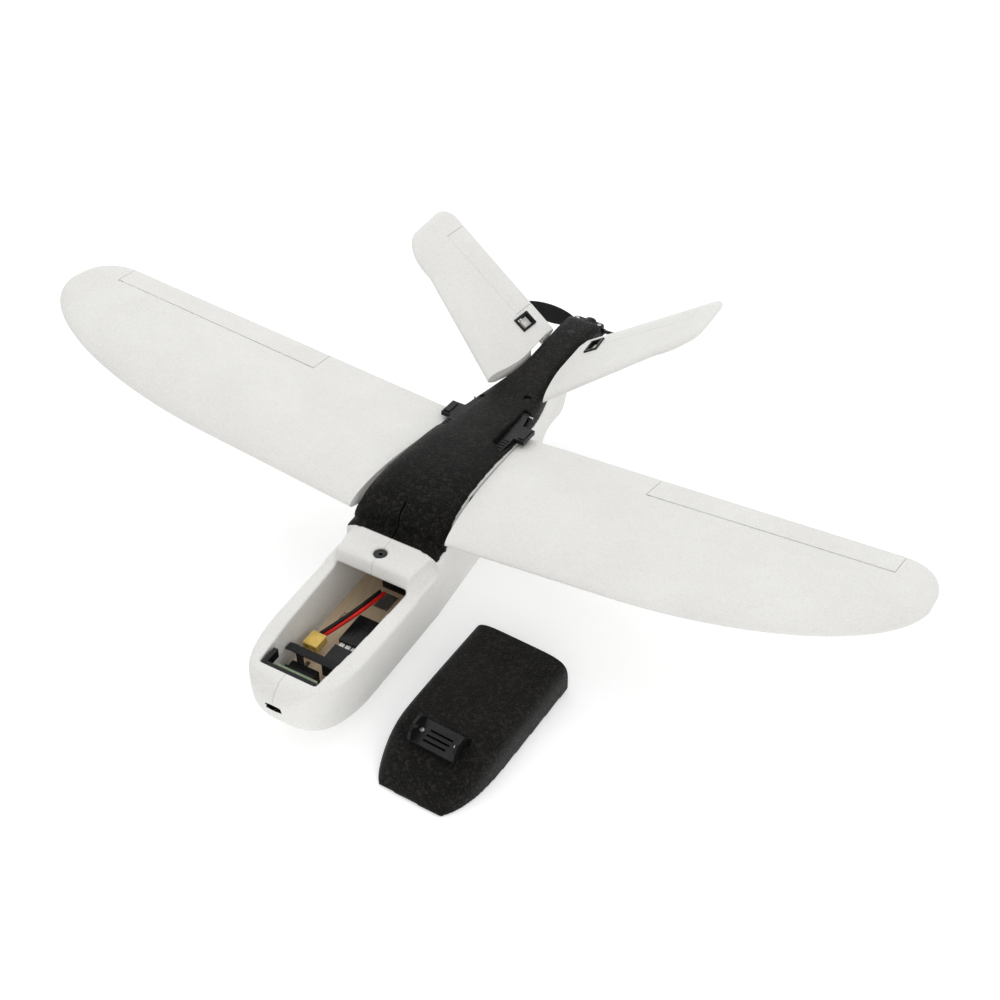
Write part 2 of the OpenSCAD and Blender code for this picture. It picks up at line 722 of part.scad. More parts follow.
// y of the outer and of the inner sections
hatch_stations = [-168, -166, -163, -158, -152, -145, -134, -118, -90, -50, -3, 0];
hollow_stations = [-154, -146, -134, -118, -90, -50, -6];
bracket_screw_x = 16.5;
function hatch_ring(y, inset) =
  [for (i = [0 : 13])
    let(a = 180 * i / 13, n = y < -150 ? 2.6 : y < -120 ? 3.6 : 5.4)
    [(body_half_w(y * 1.02 - 5) - 0.6 - inset) * signed_pow(cos(a), n), y,
      (i == 0 || i == 13) ? 0 : (lookup(y, hatch_line) - inset) * signed_pow(sin(a), n)]];
module hatch_frame() {
  translate([hatch_x, -6.8, 0]) rotate([0, 0, -hatch_turn]) children();
}
module hatch() {
  color(black) hatch_frame() difference() {
    skin([for (y = hatch_stations) hatch_ring(y, y > -1 ? 1.2 : 0)]);
    translate([0, 0, -0.5]) skin([for (y = hollow_stations) hatch_ring(y, 6)]);
    box(-38, 38, -14, 1, -1, 24);
    cyl_z(1.2, 20, 40, 0, -22);
    cyl_z(3.3, 31.4, 35.4, 0, -22, 24);
    for (x = [-15, 15]) cyl_z(0.9, 20, 40, x, -124, 16);
    // bracket recess
    box(-22.4, 22.4, -137.4, -110.6, 28.6, 40);
  }
}
module hatch_magnet() {
  color(steel) hatch_frame() translate([0, -29, 22.8]) difference() {
    cylinder(r = 6, h = 3.4, $fn = 32);
    cyl_z(2.4, -1, 5, 0, 7);
  }
}
module hatch_screw() {
  color(dark) hatch_frame() translate([0, -22, 31.5]) screw(3.1, 1.7, 1.1, 3.9);
}
module camera_bracket() {
  color(black) hatch_frame() difference() {
    union() {
      box(-22, 22, -137, -111, 28.8, 31);
      for (x = [-22, 19.6])
        side_x([[-137, 30.9], [-111, 30.9], [-115, 38], [-120, 43], [-129, 43], [-135, 37]],
          x, x + 2.4);
    }
    for (y = [-131, -125.5, -120]) box(-11, 11, y - 1.2, y + 1.2, 28, 32);
    for (x = [-bracket_screw_x, bracket_screw_x]) cyl_z(1.05, 28, 33, x, -124);
    cyl_x(1.1, -23, 23, -124.5, 38.6);
    cyl_x(1.1, -23, 23, -131, 34.4);
  }
}
module bracket_screws() {
  color(steel) hatch_frame() for (x = [-bracket_screw_x, bracket_screw_x])
    translate([x, -124, 31.05]) screw(1.9, 1.4, 0.95, 2.25, 0.05, 16);
}

fuselage_left();
fuselage_right();
top_cover();
tail_skid();
equipment_tray();
speed_controller();
receiver();
receiver_plugs();
power_module();
battery_lead_red();
battery_lead_black();
battery_connector();
battery_strap();
strap_pad();
front_catch();
camera_board();
shelf_magnet();
spar_socket();
motor_mount();
motor_screws();
motor_stator();
motor_can();
prop_hub();
prop_nut();
blade_pins();
prop_blade_a();
prop_blade_b();
wing_left();
wing_right();
spar_left();
spar_right();
aileron_left();
aileron_right();
aileron_servo_left();
aileron_servo_right();
aileron_arm_left();
aileron_arm_right();
pushrod_left();
pushrod_right();
aileron_horn_left();
aileron_horn_right();
fin_left();
fin_right();
ruddervator_left();
ruddervator_right();
horn_frame_left();
horn_frame_right();
tail_servo_left();
tail_servo_right();
torque_arm_left();
torque_arm_right();
latch_left();
latch_right();
latch_pins();
cover_screws();
hatch();
hatch_magnet();
hatch_screw();
camera_bracket();
bracket_screws();
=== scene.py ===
"""Foam model aeroplane with a V-tail and a folding pusher propeller, its hatch lying beside it.

The nose points along -Y, Z is up and the belly rests on Z = 0. "Left" in a name is the
-X side. Shapes are drawn in millimetres and scaled to metres as they become meshes;
materials, lights and camera are in metres.
"""
import json
from math import atan2, copysign, cos, hypot, pi, radians, sin, sqrt

import bmesh
import bpy
import numpy as np
from mathutils import Matrix, Vector


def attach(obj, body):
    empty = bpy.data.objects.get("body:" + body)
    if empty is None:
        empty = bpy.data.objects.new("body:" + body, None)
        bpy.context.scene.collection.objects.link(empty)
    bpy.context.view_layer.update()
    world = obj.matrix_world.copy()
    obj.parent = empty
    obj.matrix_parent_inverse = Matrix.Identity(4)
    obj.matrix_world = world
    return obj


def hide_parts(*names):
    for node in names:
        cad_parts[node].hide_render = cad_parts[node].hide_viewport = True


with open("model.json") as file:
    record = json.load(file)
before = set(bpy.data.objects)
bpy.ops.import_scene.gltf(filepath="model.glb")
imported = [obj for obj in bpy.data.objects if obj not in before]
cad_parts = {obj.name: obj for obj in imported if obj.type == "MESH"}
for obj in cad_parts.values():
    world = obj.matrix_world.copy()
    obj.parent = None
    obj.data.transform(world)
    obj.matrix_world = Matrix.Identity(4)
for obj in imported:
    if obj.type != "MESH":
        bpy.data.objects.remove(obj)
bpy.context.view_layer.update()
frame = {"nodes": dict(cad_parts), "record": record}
NODES = frame["nodes"]
MM = 0.001
SIDES = ((-1, "left"), (1, "right"))    # sign of X, name


# ---------------------------------------------------------------- numbers and curves
def curve(table):
    """Monotone cubic through a short table of (station, value) pairs."""
    x = np.array([t[0] for t in table], float)
    y = np.array([t[1] for t in table], float)
    step = np.diff(x)
    rise = np.diff(y) / step
    slope = np.zeros(len(x))
    for i in range(1, len(x) - 1):
        if rise[i - 1] * rise[i] > 0:
            before, after = 2 * step[i] + step[i - 1], step[i] + 2 * step[i - 1]
            slope[i] = (before + after) / (before / rise[i - 1] + after / rise[i])
    slope[0], slope[-1] = rise[0], rise[-1]

    def value(at):
        at = min(max(at, x[0]), x[-1])
        k = min(int(np.searchsorted(x, at, side="right")) - 1, len(step) - 1)
        t = (at - x[k]) / step[k]
        return float((2 * t**3 - 3 * t**2 + 1) * y[k]
                     + (t**3 - 2 * t**2 + t) * step[k] * slope[k]
                     + (-2 * t**3 + 3 * t**2) * y[k + 1]
                     + (t**3 - t**2) * step[k] * slope[k + 1])
    return value


def even(start, end, n):
    return [start + (end - start) * i / n for i in range(n + 1)]


def ease(t):
    t = min(1.0, max(0.0, t))
    return t * t * (3 - 2 * t)


def signed_root(value, n):
    """Superellipse term: a higher n gives a squarer section."""
    return copysign(abs(value) ** (2.0 / n), value)


def turn(a, b, angle):
    return a * cos(angle) - b * sin(angle), a * sin(angle) + b * cos(angle)


def circle(radius, n, x=0.0, y=0.0):
    return [(x + radius * cos(2 * pi * i / n), y + radius * sin(2 * pi * i / n))
            for i in range(n)]


def smooth_path(points, steps):
    """Catmull-Rom path through the points."""
    points = [Vector(p) for p in points]
    path = []
    for i in range(len(points) - 1):
        p0, p1 = points[max(i - 1, 0)], points[i]
        p2, p3 = points[i + 1], points[min(i + 2, len(points) - 1)]
        for k in range(steps):
            t = k / steps
            path.append(0.5 * ((2 * p1) + (-p0 + p2) * t + (2 * p0 - 5 * p1 + 4 * p2 - p3) * t * t
                               + (-p0 + 3 * p1 - 3 * p2 + p3) * t**3))
    path.append(points[-1])
    return path


def directions(path):
    last = len(path) - 1
    return [(path[min(i + 1, last)] - path[max(i - 1, 0)]).normalized()
            for i in range(len(path))]


# ---------------------------------------------------------------- solids
def add_object(name, data):
    obj = bpy.data.objects.new(name, data)
    bpy.context.scene.collection.objects.link(obj)
    return obj


def duplicate(obj, name):
    twin = obj.copy()
    twin.data = obj.data.copy()
    twin.name = name
    bpy.context.scene.collection.objects.link(twin)
    return twin


def add_solid(name, verts, faces, check_volume=False):
    mesh = bpy.data.meshes.new(name)
    mesh.from_pydata([tuple(c * MM for c in p) for p in verts], [], faces)
    bm = bmesh.new()
    bm.from_mesh(mesh)
    bmesh.ops.triangulate(bm, faces=[f for f in bm.faces if len(f.verts) > 4])
    bmesh.ops.recalc_face_normals(bm, faces=bm.faces)
    if check_volume and bm.calc_volume(signed=True) < 0:
        bmesh.ops.reverse_faces(bm, faces=bm.faces)
    bm.to_mesh(mesh)
    bm.free()
    return add_object(name, mesh)


def loft(name, rings):
    """Closed skin through rings of equal count."""
    n, count = len(rings[0]), len(rings)
    faces = [list(range(n))[::-1]]
    for j in range(count - 1):
        for i in range(n):
            a, b = j * n + i, j * n + (i + 1) % n
            faces.append([a, b, b + n, a + n])
    faces.append([(count - 1) * n + i for i in range(n)])
    return add_solid(name, [p for ring in rings for p in ring], faces)


def prism(outline, place, start, end):
    """Cutter from an outline; place(p, t) gives the 3-D point at depth t."""
    n = len(outline)
    faces = [list(range(n)), [n + i for i in range(n)][::-1]]
    faces += [[i, (i + 1) % n, n + (i + 1) % n, n + i] for i in range(n)]
    verts = [place(p, t) for t in (start, end) for p in outline]
    return add_solid("cutter", verts, faces, check_volume=True)


# In these cutters, place maps a local point into the aeroplane; by default it changes nothing.
def plan(outline, z0, z1, place=tuple):
    """Cutter from an X-Y outline, drawn out along Z."""
    return prism(outline, lambda p, t: place((p[0], p[1], t)), z0, z1)


def side_view(outline, x0, x1, place=tuple):
    """Cutter from a Y-Z outline, drawn out along X."""
    return prism(outline, lambda p, t: place((t, p[0], p[1])), x0, x1)


def block(x0, x1, y0, y1, z0, z1, place=tuple):
    return plan([(x0, y0), (x1, y0), (x1, y1), (x0, y1)], z0, z1, place)


def rod_z(radius, z0, z1, x, y, n=40, place=tuple):
    return plan(circle(radius, n, x, y), z0, z1, place)


def rod_y(radius, y0, y1, x, z):
    return prism(circle(radius, 64, x, z), lambda p, t: (p[0], t, p[1]), y0, y1)


def bake(obj):
    """Turns the modifiers' result into the object's own mesh."""
    depsgraph = bpy.context.evaluated_depsgraph_get()
    depsgraph.update()
    mesh = bpy.data.meshes.new_from_object(obj.evaluated_get(depsgraph))
    obj.modifiers.clear()
    obj.data = mesh


def cut(obj, *tools, operation="DIFFERENCE"):
    for tool in tools:
        boolean = obj.modifiers.new("b", "BOOLEAN")
        boolean.object = tool
        boolean.operation = operation
        boolean.solver = "EXACT"
        bake(obj)
        bpy.data.objects.remove(tool, do_unlink=True)


def soften(obj, voxel, rounds):
    """Foam edges: an even skin, smoothed, so that every moulded edge is rounded."""
    remesh = obj.modifiers.new("r", "REMESH")
    remesh.mode = "VOXEL"
    remesh.voxel_size = voxel * MM
    remesh.adaptivity = 0.0
    smoothing = obj.modifiers.new("s", "SMOOTH")
    smoothing.factor = 0.5
    smoothing.iterations = rounds
    bake(obj)


def shade(obj, angle):
    """Smooth shading, with edges sharper than the angle in degrees kept crisp."""
    bm = bmesh.new()
    bm.from_mesh(obj.data)
    bmesh.ops.remove_doubles(bm, verts=bm.verts, dist=1e-6)
    bmesh.ops.dissolve_degenerate(bm, dist=1e-7, edges=bm.edges)
    limit = radians(angle)
    for face in bm.faces:
        face.smooth = True
    for edge in bm.edges:
        edge.smooth = not (len(edge.link_faces) == 2 and edge.calc_face_angle(0.0) > limit)
    bm.to_mesh(obj.data)
    bm.free()


def paint(obj, slot):
    obj.data.materials.clear()
    obj.data.materials.append(MATERIALS[slot])


def mount(obj, body, part=None):
    """Moves with a body and, where a part is given, stands in for that CAD part."""
    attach(obj, body)
    if part:
        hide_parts(part)


def finish(obj, slot, angle, body, part=None):
    shade(obj, angle)
    paint(obj, slot)
    mount(obj, body, part)


# ---------------------------------------------------------------- materials
MATERIALS = {}


class Shader:
    """A Principled material, kept in MATERIALS, with short calls for its nodes."""

    def __init__(self, name):
        material = bpy.data.materials.new(name)
        MATERIALS[name] = self.material = material
        material.use_nodes = True
        self.tree = material.node_tree
        self.tree.nodes.clear()
        output = self.tree.nodes.new("ShaderNodeOutputMaterial")
        self.principled = self.tree.nodes.new("ShaderNodeBsdfPrincipled")
        self.tree.links.new(self.principled.outputs[0], output.inputs[0])
        self.coords = self.node("ShaderNodeTexCoord").outputs["Object"]

    def feed(self, node, inputs):
        for key, value in inputs.items():
            socket = node.inputs[key]
            if isinstance(value, bpy.types.NodeSocket):
                self.tree.links.new(value, socket)
            else:
                socket.default_value = (*value, 1) if socket.type == "RGBA" else value

    def node(self, kind, inputs=None, **props):
        node = self.tree.nodes.new(kind)
        for key, value in props.items():
            setattr(node, key, value)
        self.feed(node, inputs or {})
        return node

    def surface(self, inputs):
        self.feed(self.principled, inputs)

    def noise(self, scale, detail, vector=None, **more):
        inputs = {"Vector": vector or self.coords, "Scale": scale, "Detail": detail, **more}
        return self.node("ShaderNodeTexNoise", inputs).outputs[0]

    def wave(self, scale, distortion, direction="X", vector=None, **more):
        inputs = {"Vector": vector or self.coords, "Scale": scale, "Distortion": distortion}
        return self.node("ShaderNodeTexWave", {**inputs, **more},
                         bands_direction=direction).outputs[1]

    def math(self, operation, a, b):
        return self.node("ShaderNodeMath", {0: a, 1: b}, operation=operation).outputs[0]

    def ramp(self, factor, start, end):
        """Grey ramp; start and end are (position, grey level)."""
        node = self.node("ShaderNodeValToRGB", {0: factor})
        for element, (position, level) in zip(node.color_ramp.elements, (start, end)):
            element.position = position
            element.color = (level, level, level, 1)
        return node.outputs[0]

    def mix(self, factor, a, b):
        node = self.node("ShaderNodeMix", data_type="RGBA")
        self.feed(node, {0: factor, 6: a, 7: b})
        return node.outputs[2]

    def edges(self, radius):
        """1 on edges, 0 on flats; it marks worn or dark edges, and where the black foam's painted
        edge highlight goes.
        """
        bevel = self.node("ShaderNodeBevel", {"Radius": radius}, samples=4)
        geometry = self.node("ShaderNodeNewGeometry")
        dot = self.node("ShaderNodeVectorMath",
                        {0: bevel.outputs[0], 1: geometry.outputs["Normal"]},
                        operation="DOT_PRODUCT")
        return self.ramp(dot.outputs["Value"], start=(0.72, 1), end=(0.985, 0))

    def bump(self, height, strength, distance):
        node = self.node("ShaderNodeBump",
                         {"Strength": strength, "Distance": distance, "Height": height})
        self.surface({"Normal": node.outputs[0]})


def foam(name, dark, light, seam, rough, bead, bump, speck, specular,
         painted_edge_highlight=0.0, fleck=(0.0, 0.32)):
    """Moulded beads with dark or pale seams; fleck is (ramp start, strength) per bead; the edge
    factor paints a highlight along the edges.
    """
    m = Shader(name)
    beads = {"Vector": m.coords, "Scale": bead, "Randomness": 0.9}
    border = m.node("ShaderNodeTexVoronoi", beads,
                    feature="DISTANCE_TO_EDGE").outputs["Distance"]
    cell = m.node("ShaderNodeTexVoronoi", beads, feature="F1")
    fine = m.noise(scale=bead * 5, detail=3.0)
    broad = m.noise(scale=14.0, detail=4.0, Roughness=0.6)
    pits = m.noise(scale=bead * 1.1, detail=1.0)
    clouds = m.ramp(broad, start=(0.35, 0), end=(0.75, 0.35 if painted_edge_highlight else 1.0))
    base = m.mix(clouds, dark, light)
    tint = m.node("ShaderNodeSeparateColor", {0: cell.outputs["Color"]}).outputs[0]
    base = m.mix(m.ramp(tint, start=(fleck[0], 0), end=(1.0, fleck[1])), base, light)
    line = m.ramp(border, start=(0.0, speck), end=(0.09, 0))
    gate = m.ramp(pits, start=(0.45, 0.15), end=(0.62, 1))
    base = m.mix(m.math("MULTIPLY", line, gate), base, seam)
    # painted highlight: edges mixed towards the light colour
    if painted_edge_highlight:
        base = m.mix(m.math("MULTIPLY", m.edges(radius=0.0025), painted_edge_highlight), base, light)
    roughness = m.ramp(fine, start=(0.3, rough - 0.1), end=(0.7, rough + 0.12))
    m.surface({"Base Color": base, "Roughness": roughness, "Specular IOR Level": specular})
    domes = m.ramp(border, start=(0.0, 0), end=(0.16, 1))
    m.bump(m.math("ADD", domes, fine), strength=bump, distance=0.0006)


def plastic(name, colour, worn, rough, grain, bump, metal=0.0):
    """Plain plastic or metal: cloudy colour, fine grain and worn edges."""
    m = Shader(name)
    broad = m.noise(scale=60.0, detail=5.0)
    fine = m.noise(scale=grain, detail=3.0)
    base = m.mix(m.ramp(broad, start=(0.35, 0), end=(0.7, 1)),
                 tuple(c * 0.8 for c in colour), tuple(c * 1.25 + 0.004 for c in colour))
    wear = m.math("MULTIPLY", m.edges(radius=0.0005), fine)
    base = m.mix(wear, base, worn)
    roughness = m.ramp(fine, start=(0.3, rough - 0.12), end=(0.75, rough + 0.15))
    m.surface({"Base Color": base, "Roughness": roughness, "Metallic": metal,
               "Specular IOR Level": 0.18})
    m.bump(fine, strength=bump, distance=0.00012)


def woven(name, colour, light):
    m = Shader(name)
    warp = m.wave(scale=500.0, distortion=1.5, direction="X", Detail=2.0)
    weft = m.wave(scale=500.0, distortion=1.5, direction="Y", Detail=2.0)
    weave = m.math("MULTIPLY", warp, weft)
    fuzz = m.noise(scale=3000.0, detail=4.0)
    height = m.math("ADD", weave, fuzz)
    m.surface({"Base Color": m.mix(weave, colour, light), "Roughness": 0.9})
    m.bump(height, strength=0.8, distance=0.0004)


def plywood(name):
    m = Shader(name)
    stretched = m.node("ShaderNodeMapping",
                       {"Vector": m.coords, "Scale": (6.0, 0.7, 6.0)}).outputs[0]
    grain = m.noise(scale=90.0, detail=8.0, vector=stretched, Distortion=0.4)
    figure = m.wave(scale=25.0, distortion=7.0, vector=stretched, Detail=3.0)
    base = m.mix(grain, (0.50, 0.36, 0.22), (0.86, 0.72, 0.53))
    bands = m.ramp(figure, start=(0.2, 0), end=(0.9, 0.35))
    base = m.mix(bands, base, (0.62, 0.44, 0.26))
    base = m.mix(m.edges(radius=0.0008), base, (0.16, 0.09, 0.04))
    m.surface({"Base Color": base,
               "Roughness": m.ramp(grain, start=(0.2, 0.5), end=(0.8, 0.75))})
    m.bump(grain, strength=0.3, distance=0.0002)


def circuit_board(name):
    m = Shader(name)
    tracks = m.node("ShaderNodeTexBrick", {
        "Vector": m.coords, "Scale": 420.0, "Mortar Size": 0.03, "Color1": (0.02, 0.09, 0.04),
        "Color2": (0.03, 0.13, 0.06), "Mortar": (0.35, 0.32, 0.16)}).outputs[0]
    specks = m.noise(scale=700.0, detail=4.0)
    spots = m.ramp(specks, start=(0.5, 0), end=(0.62, 0.6))
    m.surface({"Base Color": m.mix(spots, tracks, (0.30, 0.34, 0.26)), "Roughness": 0.35})
    m.bump(specks, strength=0.4, distance=0.0002)


def carbon(name):
    m = Shader(name)
    weave = m.wave(scale=260.0, distortion=0.6, direction="DIAGONAL")
    m.surface({"Base Color": m.mix(weave, (0.01, 0.01, 0.012), (0.07, 0.07, 0.08)),
               "Roughness": m.ramp(weave, start=(0, 0.25), end=(1, 0.45))})
    m.bump(weave, strength=0.3, distance=0.0002)


foam("white_foam", dark=(0.765, 0.758, 0.735), light=(0.825, 0.82, 0.80),
     seam=(0.60, 0.59, 0.56), rough=0.55, bead=330.0, bump=0.30, speck=0.34, specular=0.25)
# the black foam gets a painted highlight along its edges
foam("black_foam", dark=(0.0025, 0.0023, 0.0021), light=(0.026, 0.0245, 0.0225),
     seam=(0.055, 0.052, 0.048), rough=0.38, bead=430.0, bump=1.0, speck=0.6, specular=0.09,
     painted_edge_highlight=0.7, fleck=(0.72, 0.9))
plastic("dark_plastic", (0.006, 0.006, 0.0065), (0.09, 0.09, 0.09),
        rough=0.34, grain=700.0, bump=0.3)
plastic("black_steel", (0.02, 0.02, 0.022), (0.22, 0.22, 0.23),
        rough=0.3, grain=1300.0, bump=0.2, metal=0.8)
# near-black magnet: painted shade for the dark of its hole
plastic("magnet", (0.02, 0.02, 0.021), (0.35, 0.35, 0.36),
        rough=0.22, grain=1300.0, bump=0.2, metal=0.5)
plastic("steel", (0.42, 0.42, 0.44), (0.75, 0.75, 0.76),
        rough=0.3, grain=1500.0, bump=0.2, metal=1.0)
plywood("plywood")
plastic("white_plastic", (0.76, 0.75, 0.71), (0.9, 0.9, 0.88), rough=0.4, grain=800.0, bump=0.2)
plastic("brass", (0.62, 0.43, 0.10), (0.85, 0.68, 0.30), rough=0.32, grain=900.0, bump=0.2)
plastic("copper_core", (0.45, 0.17, 0.06), (0.75, 0.4, 0.2),
        rough=0.35, grain=1600.0, bump=0.8, metal=0.8)
plastic("can_metal", (0.03, 0.03, 0.034), (0.3, 0.3, 0.32),
        rough=0.28, grain=1200.0, bump=0.2, metal=0.7)
plastic("red_wire", (0.55, 0.012, 0.008), (0.75, 0.10, 0.07), rough=0.38, grain=600.0, bump=0.2)
plastic("black_wire", (0.010, 0.010, 0.010), (0.06, 0.06, 0.06),
        rough=0.38, grain=600.0, bump=0.2)
woven("strap", (0.008, 0.008, 0.009), (0.045, 0.045, 0.05))
circuit_board("board")
carbon("carbon")
plastic("servo_case", (0.012, 0.022, 0.09), (0.12, 0.16, 0.3), rough=0.22, grain=500.0, bump=0.15)
plastic("seam", (0.30, 0.295, 0.28), (0.42, 0.41, 0.4), rough=0.6, grain=900.0, bump=0.2)

SLOTS = {s["node"]: s["material_slot"] for s in frame["record"]["subparts"]}
for name, node_obj in NODES.items():
    paint(node_obj, SLOTS[name])
# These two take a different material from the one in their record; the magnet's near-black colour
# is painted shade for the hole it sits in.
paint(NODES["shelf_magnet"], "magnet")
paint(NODES["cover_screws"], "black_steel")

# ---------------------------------------------------------------- fuselage lines
HALF_WIDTH = 47.2
SIDE_TAPER = 0.0776     # narrowing per mm, between TAPER_Y and TAIL_Y
NOSE_Y, TAPER_Y, TAIL_Y = -90, -5, 160
SHAFT_Z = 88            # propeller axis
BODY_POINTS = 96

# (y, z) along the centre line
keel_z = curve([
    (-188, 55), (-184, 41), (-176, 27), (-160, 12), (-140, 4), (-115, -0.6), (95, -0.6),
    (160, 9), (225, 35), (265, 33), (269, 50), (305, 68), (334, 71)])
crown_z = curve([
    (-188, 64), (-184, 71), (-172, 78), (-47, 78), (-41, 93), (-36, 95), (-12.5, 95.5),
    (-12, 99), (-0.5, 101), (0, 108), (10, 118), (20, 124), (52, 128), (93, 125), (135, 118),
    (197, 108), (238, 107), (305, 106), (328, 104), (334, 102)])
split_z = curve([       # joint between fuselage and top cover
    (-12, 90), (0, 92), (20, 110), (52, 114), (93, 111), (135, 103), (197, 93), (238, 91),
    (334, 88)])
mid_z = curve([(-188, 60), (-172, 70), (-115, 72), (160, 74), (250, 84), (334, 88)])


def half_width(y):
    if y < NOSE_Y:
        t = min(0.9995, (NOSE_Y - y) / 98.4)
        return HALF_WIDTH * (1 - t**3.2) ** 0.4167
    if y < TAPER_Y:
        return HALF_WIDTH
    if y < TAIL_Y:
        return HALF_WIDTH - SIDE_TAPER * (y - TAPER_Y)
    waist = HALF_WIDTH - 12.8
    return waist - (waist - 18.4) * ease((y - TAIL_Y) / 95)


def panel_frame(sign, angle, root_z):
    """Frame of a raised panel: X along its span, Y aft, Z out of its face."""
    def place(p):
        across, up = turn(p[0], p[2], radians(angle))
        return (sign * across, p[1], root_z + up)
    return place


WING_ANGLE = 6.45


def wing_frame(sign):
    return panel_frame(sign, WING_ANGLE, 99.7)


# ---------------------------------------------------------------- fuselage and cover
NOSE_SLOT_TILT = radians(-35)
NOSE_SLOT_Y, NOSE_SLOT_Z = -183, 54

LATCH_TILT = radians(-6)
LATCH_Y, LATCH_Z = 176.5, 104.2
# (x, y) of a latch pocket on the +X side
LATCH_POCKET = [(23.5, 114), (33.6, 114), (33.6, 137.4), (50, 137.4), (50, 159.6),
                (31, 159.6), (27.6, 179.6), (20.7, 179.6)]


def body_ring(y):
    middle = mid_z(y)
    ring = []
    for i in range(BODY_POINTS):
        a = 2 * pi * i / BODY_POINTS
        if sin(a) < 0:
            squareness, reach = 3.2, middle - keel_z(y)
        else:
            squareness, reach = 4.6, crown_z(y) - middle
        ring.append((half_width(y) * signed_root(cos(a), squareness), y,
                     middle + reach * signed_root(sin(a), squareness)))
    return ring


def body_stations():
    """Y of each section, closest together at the nose and at steps in the outline."""
    ys = [-188 + 58 * (i / 26.0) ** 1.7 for i in range(26)]
    ys += even(-130, -50, 26) + even(-48.5, -34, 18) + even(-31, -13.2, 6)
    ys += [-12.5, -12.0, -9, -6, -3, -0.5, 0.0, 1.2, 3, 5, 8, 11, 14, 17, 20]
    ys += even(24, 222, 66) + even(225, 262, 12) + even(264, 270, 8) + even(272, 334, 20)
    return ys


def nose_slot_frame(p):
    y, z = turn(p[1], p[2], NOSE_SLOT_TILT)
    return (p[0], NOSE_SLOT_Y + y, NOSE_SLOT_Z + z)


def body_cutters():
    """Hollows shared by the fuselage and the cover."""
    return [
        # front bay, floor channel, middle bay and the narrow channel running aft
        plan([(-35, -44.5), (35, -44.5), (31.5, -120), (27, -166), (-27, -166),
              (-31.5, -120)], 30, 90),
        block(-20, 20, -150, 110, 10, 31),
        plan([(-35, -44.6), (35, -44.6), (33, 30), (27, 118), (-27, 118), (-33, 30)], 30.2, 80),
        plan([(-10, 117), (10, 117), (6, 300), (-6, 300)], 71, 80.2),
        # stepped bore in the tail, round the propeller axis
        rod_y(14.9, 301.5, 345, 0, SHAFT_Z),
        rod_y(12.4, 299.2, 302, 0, SHAFT_Z),
        # round hole in the deck and square well under the cover
        rod_z(6.3, 88.5, 101, 0, -29),
        block(-27.2, 27.2, 40.3, 63.7, 92.8, 112.7),
        # flat belly and flat pad under the tail
        block(-60, 60, -210, 345, -6, 0),
        block(-30, 30, 226, 264, 26, 38.2),
        block(-7, 7, -12, 27, -2.1, 2.1, nose_slot_frame),
    ] + [
        # shoulders beside the raised deck
        plan([(s * 39.4, -12.3), (s * 60, -12.3), (s * 60, -47), (s * 36.5, -47),
              (s * 36.5, -41)], 78.2, 112) for s, _ in SIDES]


def cut_latch_pockets(cover):
    for sign, _ in SIDES:
        def latch_frame(p):
            y, z = turn(p[1] - LATCH_Y, p[2], LATCH_TILT)
            return (sign * p[0], LATCH_Y + y, LATCH_Z + z)
        cut(cover, plan(LATCH_POCKET, -2.9, 40, latch_frame))


def paint_nose_slot_shade(half):
    """Paints the faces inside the nose slot with black foam, as painted shade in the hole."""
    half.data.materials.append(MATERIALS["black_foam"])
    for face in half.data.polygons:
        x, y, z = (v / MM for v in face.center)
        along, through = turn(y - NOSE_SLOT_Y, z - NOSE_SLOT_Z, -NOSE_SLOT_TILT)
        if abs(x) < 7.3 and -9 < along < 26 and abs(through) < 2.6:
            face.material_index = 1


def make_fuselage(shell, split):
    cut(shell, side_view([(y, z - 0.1) for y, z in split]
                         + [(346, 150), (-12.15, 150), (-12.15, 90)], -70, 70))
    cut(shell, *body_cutters())
    for sign, _ in SIDES:       # round hole into each side, in line with the wing
        cut(shell, side_view(circle(4.3, 40, 52, 3.2), 20, 60, wing_frame(sign)))
    soften(shell, voxel=1.35, rounds=5)
    halves = []
    for sign, side in SIDES:
        half = duplicate(shell, "foam_fuselage_" + side)
        x0, x1 = (-0.15, 70) if sign < 0 else (-70, 0.15)
        cut(half, block(x0, x1, -210, 350, -20, 160))
        shade(half, 50)
        paint(half, "white_foam")
        # painted shade: the nose slot's inner faces are drawn black
        paint_nose_slot_shade(half)
        halves.append(half)
    bpy.data.objects.remove(shell, do_unlink=True)
    for half, (_, side) in zip(halves, SIDES):
        mount(half, "airframe", "fuselage_" + side)


def make_cover(cover, split):
    cut(cover, side_view([(y, z + 0.1) for y, z in split]
                         + [(346, -20), (-220, -20), (-220, 160), (-12.0, 160), (-12.0, 90.1)],
                         -70, 70))
    cut(cover, *body_cutters())
    cut_latch_pockets(cover)
    soften(cover, voxel=1.0, rounds=3)
    cut_latch_pockets(cover)    # again, so that smoothing leaves the latches free
    # cross groove at the front edge, and a thin slit along the middle
    cut(cover, side_view([(-14, 97.0), (-4, 98.0), (-4, 100.6), (-14, 103.6)], -70, 70))
    cut(cover, block(-0.9, 0.9, -20, 13, 93, 124))
    # stepped holes: x, y, bottom z, hole radius, counterbore radius
    for x, y, z, hole, counterbore in ((0, 307.3, 95, 1.5, 3.7), (14, 196, 88, 1.8, 3.8)):
        cut(cover, rod_z(hole, z, 125, x, y), rod_z(counterbore, 103.6, 125, x, y))
    finish(cover, "black_foam", 50, "airframe", "top_cover")


def make_body():
    split = [(-12.0, 90.0), (-6.0, 91.0)]
    split += [(y, split_z(y)) for y in even(0, 334, 60)] + [(346, 87.9)]
    hull = loft("hull", [body_ring(y) for y in body_stations()])
    cover = duplicate(hull, "foam_top_cover")
    make_fuselage(hull, split)
    make_cover(cover, split)


make_body()

